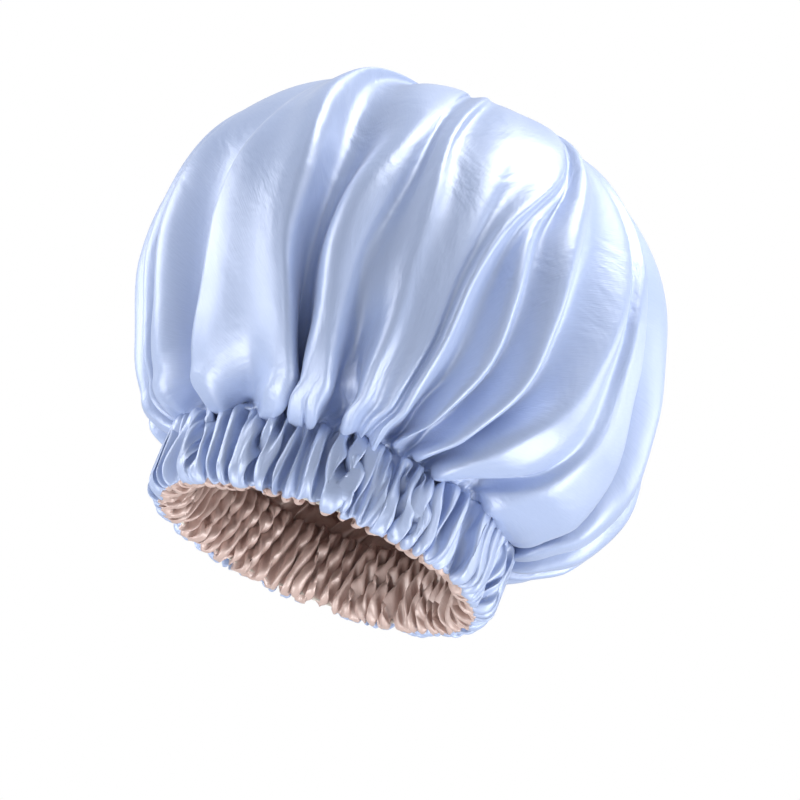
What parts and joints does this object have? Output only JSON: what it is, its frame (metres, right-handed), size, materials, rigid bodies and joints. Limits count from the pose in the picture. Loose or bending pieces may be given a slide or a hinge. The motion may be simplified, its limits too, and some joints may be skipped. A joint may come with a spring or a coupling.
{
  "type": "hair bonnet",
  "caption": "Double-layer reversible satin hair bonnet: a full gathered crown on a ruffled casing that holds a wide elastic band; light blue outside, champagne lining.",
  "frame": {"origin": "centre of the head opening, in the plane of the rim", "axes": "+Z from the opening up to the top of the crown; -Y is the side that the picture shows"},
  "size_m": [0.2492, 0.2448, 0.221],
  "materials": {
    "outer_satin": "glossy light blue satin",
    "lining_satin": "glossy champagne satin",
    "knitted_elastic": "matt white knit",
    "outer_thread": "light blue sewing thread",
    "lining_thread": "champagne sewing thread"
  },
  "bodies": {
    "root": {"outer_crown": "outer_satin", "lining_crown": "lining_satin", "outer_casing": "outer_satin", "lining_casing": "lining_satin", "elastic_band": "knitted_elastic", "elastic_join_stitching": "lining_thread", "channel_needle_thread": "outer_thread", "channel_bobbin_thread": "lining_thread", "edge_seam_thread": "lining_thread"}
  },
  "joints": []
}
